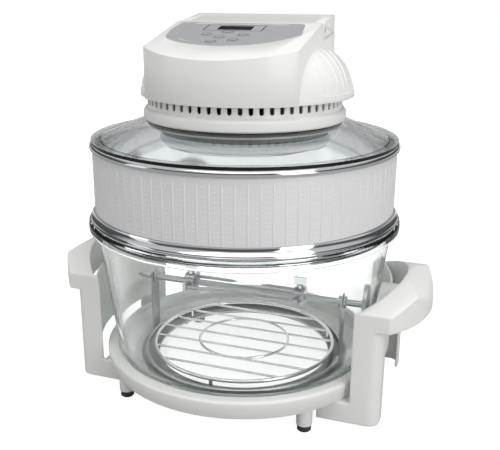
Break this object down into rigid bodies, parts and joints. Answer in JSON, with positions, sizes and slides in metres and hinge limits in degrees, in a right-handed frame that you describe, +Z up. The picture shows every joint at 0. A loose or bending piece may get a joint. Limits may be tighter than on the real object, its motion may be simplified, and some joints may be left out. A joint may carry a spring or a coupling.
{
  "type": "rotisserie oven",
  "caption": "Countertop oven with a glass bowl on a stand with side grips, a spit and rack, a steel extender ring and a glass lid with a fan and halogen heater head.",
  "frame": {"origin": "on the bowl's axis, on the surface that the feet stand on", "axes": "+Z up along the bowl's axis, -Y towards the control panel's front, +X through the right-hand grip"},
  "size_m": [0.4098, 0.33, 0.3934],
  "materials": {
    "white_abs": "gloss",
    "panel_grey": "satin",
    "key_grey": "satin",
    "display_black": "gloss",
    "clear_glass": "polished",
    "polished_steel": "mirror polished",
    "embossed_steel": "embossed, bright",
    "plain_steel": "satin",
    "zinc_screw": "zinc plated",
    "black_plastic": "matt",
    "seal_rubber": "matt",
    "foot_rubber": "matt",
    "board_green": "satin",
    "white_ceramic": "unglazed",
    "lamp_quartz": "polished",
    "fan_nylon": "satin"
  },
  "bodies": {
    "stand": {"base_ring": "white_abs", "rubber_feet": "foot_rubber", "left_bracket": "white_abs", "right_bracket": "white_abs", "bracket_screws": "zinc_screw", "drive_gearmotor": "plain_steel", "motor_cover": "white_abs"},
    "drive": {"drive_magnet": "black_plastic"},
    "bowl": {"glass_bowl": "clear_glass", "low_rack": "polished_steel", "spit_stand": "plain_steel"},
    "spit": {"spit_rod": "plain_steel", "spit_magnet": "plain_steel"},
    "left_fork_body": {"left_fork": "plain_steel"},
    "right_fork_body": {"right_fork": "plain_steel"},
    "left_screw_body": {"left_thumb_screw": "polished_steel"},
    "right_screw_body": {"right_thumb_screw": "polished_steel"},
    "extender": {"extender_band": "embossed_steel", "extender_bead": "polished_steel", "extender_foot": "polished_steel", "extender_liner": "polished_steel"},
    "lid": {"lid_glass": "clear_glass", "lid_seal": "seal_rubber", "clamp_ring": "plain_steel", "vent_collar": "white_abs", "head_shell": "white_abs", "head_base_plate": "plain_steel", "control_panel": "panel_grey", "display_window": "display_black", "control_board": "board_green", "panel_screws": "zinc_screw", "fan_motor": "black_plastic", "motor_mount": "plain_steel", "motor_screws": "zinc_screw", "heat_shield": "plain_steel", "reflector": "polished_steel", "halogen_lamp": "lamp_quartz", "lamp_holders": "white_ceramic", "element_pan": "polished_steel", "fan_guard": "polished_steel", "sensor_probe": "plain_steel", "handle_pins": "plain_steel", "safety_switch": "black_plastic", "cord_gland": "black_plastic", "clamp_screws": "zinc_screw"},
    "fan": {"fan_shaft": "polished_steel", "cooling_fan": "fan_nylon", "circulation_fan": "plain_steel"},
    "handle": {"lift_handle": "white_abs"},
    "plunger": {"switch_plunger": "fan_nylon"},
    "key_light_body": {"key_light": "key_grey"},
    "key_up_body": {"key_up": "key_grey"},
    "key_start_body": {"key_start": "key_grey"},
    "key_mode_body": {"key_mode": "key_grey"},
    "key_down_body": {"key_down": "key_grey"},
    "key_power_body": {"key_power": "key_grey"}
  },
  "joints": [
    {"name": "drive_spin", "type": "hinge", "parent": "stand", "child": "drive", "pos_m": [0.156, 0, 0.1], "axis": [1, 0, 0], "continuous": true},
    {"name": "bowl_lift", "type": "slide", "parent": "stand", "child": "bowl", "axis": [0, 0, 1], "range_m": [0, 0.18]},
    {"name": "spit_spin", "type": "hinge", "parent": "bowl", "child": "spit", "pos_m": [0, 0, 0.1], "axis": [1, 0, 0], "continuous": true},
    {"name": "left_fork_slide", "type": "slide", "parent": "spit", "child": "left_fork_body", "axis": [1, 0, 0], "range_m": [-0.03, 0.006]},
    {"name": "right_fork_slide", "type": "slide", "parent": "spit", "child": "right_fork_body", "axis": [-1, 0, 0], "range_m": [-0.03, 0.006]},
    {"name": "left_screw_turn", "type": "hinge", "parent": "left_fork_body", "child": "left_screw_body", "pos_m": [-0.06442, 0, 0.112], "axis": [0, 0, 1], "continuous": true},
    {"name": "right_screw_turn", "type": "hinge", "parent": "right_fork_body", "child": "right_screw_body", "pos_m": [0.06442, 0, 0.112], "axis": [0, 0, 1], "continuous": true},
    {"name": "extender_lift", "type": "slide", "parent": "bowl", "child": "extender", "axis": [0, 0, 1], "range_m": [0, 0.1]},
    {"name": "lid_lift", "type": "slide", "parent": "extender", "child": "lid", "axis": [0, 0, 1], "range_m": [0, 0.12]},
    {"name": "fan_spin", "type": "hinge", "parent": "lid", "child": "fan", "pos_m": [0, 0, 0.33], "axis": [0, 0, 1], "continuous": true},
    {"name": "handle_lift", "type": "hinge", "parent": "lid", "child": "handle", "pos_m": [0, 0.024, 0.37902], "axis": [1, 0, 0], "range_deg": [0, 90]},
    {"name": "plunger_slide", "type": "slide", "parent": "lid", "child": "plunger", "axis": [0, 0, 1], "range_m": [0, 0.003]},
    {"name": "key_light_press", "type": "slide", "parent": "lid", "child": "key_light_body", "axis": [0, 0.2504, -0.9681], "range_m": [0, 0.0006], "stiffness_N_per_m": 400},
    {"name": "key_up_press", "type": "slide", "parent": "lid", "child": "key_up_body", "axis": [0, 0.2504, -0.9681], "range_m": [0, 0.0006], "stiffness_N_per_m": 400},
    {"name": "key_start_press", "type": "slide", "parent": "lid", "child": "key_start_body", "axis": [0, 0.2504, -0.9681], "range_m": [0, 0.0006], "stiffness_N_per_m": 400},
    {"name": "key_mode_press", "type": "slide", "parent": "lid", "child": "key_mode_body", "axis": [0, 0.2504, -0.9681], "range_m": [0, 0.0006], "stiffness_N_per_m": 400},
    {"name": "key_down_press", "type": "slide", "parent": "lid", "child": "key_down_body", "axis": [0, 0.2504, -0.9681], "range_m": [0, 0.0006], "stiffness_N_per_m": 400},
    {"name": "key_power_press", "type": "slide", "parent": "lid", "child": "key_power_body", "axis": [0, 0.2504, -0.9681], "range_m": [0, 0.0006], "stiffness_N_per_m": 400}
  ],
  "couplings": [
    {"joint": "spit_spin", "follows": "drive_spin", "ratio": 1},
    {"joint": "plunger_slide", "follows": "handle_lift", "m_per_rad": 0.0018971}
  ]
}
